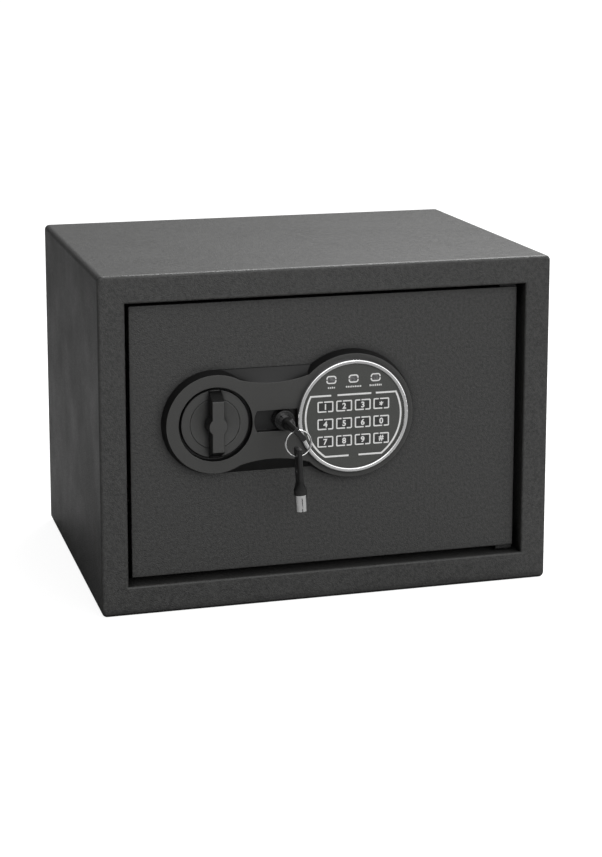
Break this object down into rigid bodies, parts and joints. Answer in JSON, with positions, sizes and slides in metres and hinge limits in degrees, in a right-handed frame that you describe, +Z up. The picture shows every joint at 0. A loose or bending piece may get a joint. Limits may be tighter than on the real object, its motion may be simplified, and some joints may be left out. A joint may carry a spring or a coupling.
{
  "type": "in-room safe",
  "caption": "Steel in-room safe with a hinged recessed door, a moulded bezel holding a turn knob, a tubular key lock and a round keypad, and bolt work behind.",
  "frame": {"origin": "centre of the casing's base, on the underside", "axes": "+X to the user's right facing the door, +Y from the door to the back, +Z up"},
  "size_m": [0.35, 0.3015, 0.256],
  "materials": {
    "powder_coat": "charcoal powder coat, fine grain, low sheen",
    "zinc_plate": "zinc-plated sheet",
    "bright_steel": "turned steel",
    "felt": "dark needle felt",
    "bezel_plastic": "fine matt moulding",
    "knob_plastic": "fine matt moulding",
    "keypad_film": "matt printed film",
    "keypad_rubber": "matt silicone",
    "ring_chrome": "bright chrome",
    "lamp_window": "dark tinted window",
    "circuit_board": "green solder mask",
    "bush_brass": "turned brass",
    "lock_black": "black satin",
    "key_chrome": "nickel bright",
    "key_plastic": "black moulding",
    "cell_sleeve": "printed sleeve, plain",
    "cable_sheath": "black sheath",
    "reset_red": "red button"
  },
  "bodies": {
    "casing": {"casing_wrap": "powder_coat", "back_panel": "powder_coat", "floor_mat": "felt", "hinge_pin_top": "powder_coat", "hinge_pin_bottom": "powder_coat"},
    "door": {"door_plate": "powder_coat", "door_frame": "zinc_plate", "hinge_lug_top": "powder_coat", "hinge_lug_bottom": "powder_coat", "inner_cover": "powder_coat", "cover_screws": "bright_steel", "reset_switch": "bezel_plastic", "bezel": "bezel_plastic", "bezel_screws": "bright_steel", "keypad_overlay": "keypad_film", "keypad_ring": "ring_chrome", "indicator_lenses": "lamp_window", "keypad_board": "circuit_board", "spindle_bush": "bush_brass", "lock_housing": "lock_black", "lock_nut": "zinc_plate", "bolt_guides": "zinc_plate", "guide_posts": "zinc_plate", "solenoid_body": "zinc_plate", "battery_box": "bezel_plastic", "batteries": "cell_sleeve", "battery_contacts": "bright_steel", "keypad_cable": "cable_sheath"},
    "knob": {"knob": "knob_plastic", "spindle": "bright_steel", "drive_cam": "zinc_plate", "cam_screw": "bright_steel"},
    "bolt_carriage": {"bolt_carriage": "zinc_plate", "bolt_upper": "bright_steel", "bolt_lower": "bright_steel", "bolt_screws": "bright_steel"},
    "solenoid_plunger": {"solenoid_plunger": "bright_steel"},
    "lock_core": {"lock_core": "lock_black", "lock_cam": "zinc_plate"},
    "key_a": {"key_a_handle": "key_plastic", "key_a_barrel": "key_chrome"},
    "split_ring": {"split_ring": "key_chrome"},
    "key_b": {"key_b_handle": "key_plastic", "key_b_barrel": "key_chrome"},
    "battery_cover": {"battery_cover": "bezel_plastic"},
    "reset_button": {"reset_button": "reset_red"},
    "key_1": {"key_1": "keypad_rubber"},
    "key_2": {"key_2": "keypad_rubber"},
    "key_3": {"key_3": "keypad_rubber"},
    "key_star": {"key_star": "keypad_rubber"},
    "key_4": {"key_4": "keypad_rubber"},
    "key_5": {"key_5": "keypad_rubber"},
    "key_6": {"key_6": "keypad_rubber"},
    "key_0": {"key_0": "keypad_rubber"},
    "key_7": {"key_7": "keypad_rubber"},
    "key_8": {"key_8": "keypad_rubber"},
    "key_9": {"key_9": "keypad_rubber"},
    "key_hash": {"key_hash": "keypad_rubber"}
  },
  "joints": [
    {"name": "door_swing", "type": "hinge", "parent": "casing", "child": "door", "pos_m": [0.147, -0.1145, 0.128], "axis": [0, 0, 1], "range_deg": [0, 95]},
    {"name": "knob_turn", "type": "hinge", "parent": "door", "child": "knob", "pos_m": [-0.0883, -0.12, 0.1413], "axis": [0, -1, 0], "range_deg": [0, 90]},
    {"name": "bolt_throw", "type": "slide", "parent": "door", "child": "bolt_carriage", "axis": [-1, 0, 0], "range_m": [0, 0.016]},
    {"name": "solenoid_pull", "type": "slide", "parent": "door", "child": "solenoid_plunger", "axis": [0, 0, -1], "range_m": [0, 0.004], "stiffness_N_per_m": 200, "springref_m": -0.002},
    {"name": "lock_turn", "type": "hinge", "parent": "door", "child": "lock_core", "pos_m": [-0.0363, -0.12, 0.1413], "axis": [0, 1, 0], "range_deg": [0, 90]},
    {"name": "key_a_slide", "type": "slide", "parent": "lock_core", "child": "key_a", "axis": [0, -1, 0], "range_m": [0, 0.02]},
    {"name": "ring_swing", "type": "hinge", "parent": "key_a", "child": "split_ring", "pos_m": [-0.03611, -0.1605, 0.14107], "axis": [0, -1, 0], "range_deg": [0, 60]},
    {"name": "key_b_swing", "type": "hinge", "parent": "split_ring", "child": "key_b", "pos_m": [-0.03409, -0.1605, 0.12188], "axis": [1, 0, 0], "range_deg": [-60, 15]},
    {"name": "battery_cover_lift", "type": "slide", "parent": "door", "child": "battery_cover", "axis": [0, 1, 0], "range_m": [0, 0.03]},
    {"name": "reset_press", "type": "slide", "parent": "door", "child": "reset_button", "axis": [0, -1, 0], "range_m": [0, 0.0015], "stiffness_N_per_m": 400},
    {"name": "key_1_press", "type": "slide", "parent": "door", "child": "key_1", "axis": [0, 1, 0], "range_m": [0, 0.0004], "stiffness_N_per_m": 500},
    {"name": "key_2_press", "type": "slide", "parent": "door", "child": "key_2", "axis": [0, 1, 0], "range_m": [0, 0.0004], "stiffness_N_per_m": 500},
    {"name": "key_3_press", "type": "slide", "parent": "door", "child": "key_3", "axis": [0, 1, 0], "range_m": [0, 0.0004], "stiffness_N_per_m": 500},
    {"name": "key_star_press", "type": "slide", "parent": "door", "child": "key_star", "axis": [0, 1, 0], "range_m": [0, 0.0004], "stiffness_N_per_m": 500},
    {"name": "key_4_press", "type": "slide", "parent": "door", "child": "key_4", "axis": [0, 1, 0], "range_m": [0, 0.0004], "stiffness_N_per_m": 500},
    {"name": "key_5_press", "type": "slide", "parent": "door", "child": "key_5", "axis": [0, 1, 0], "range_m": [0, 0.0004], "stiffness_N_per_m": 500},
    {"name": "key_6_press", "type": "slide", "parent": "door", "child": "key_6", "axis": [0, 1, 0], "range_m": [0, 0.0004], "stiffness_N_per_m": 500},
    {"name": "key_0_press", "type": "slide", "parent": "door", "child": "key_0", "axis": [0, 1, 0], "range_m": [0, 0.0004], "stiffness_N_per_m": 500},
    {"name": "key_7_press", "type": "slide", "parent": "door", "child": "key_7", "axis": [0, 1, 0], "range_m": [0, 0.0004], "stiffness_N_per_m": 500},
    {"name": "key_8_press", "type": "slide", "parent": "door", "child": "key_8", "axis": [0, 1, 0], "range_m": [0, 0.0004], "stiffness_N_per_m": 500},
    {"name": "key_9_press", "type": "slide", "parent": "door", "child": "key_9", "axis": [0, 1, 0], "range_m": [0, 0.0004], "stiffness_N_per_m": 500},
    {"name": "key_hash_press", "type": "slide", "parent": "door", "child": "key_hash", "axis": [0, 1, 0], "range_m": [0, 0.0004], "stiffness_N_per_m": 500}
  ],
  "couplings": [
    {"joint": "knob_turn", "follows": "bolt_throw", "rad_per_m": 98.17}
  ]
}
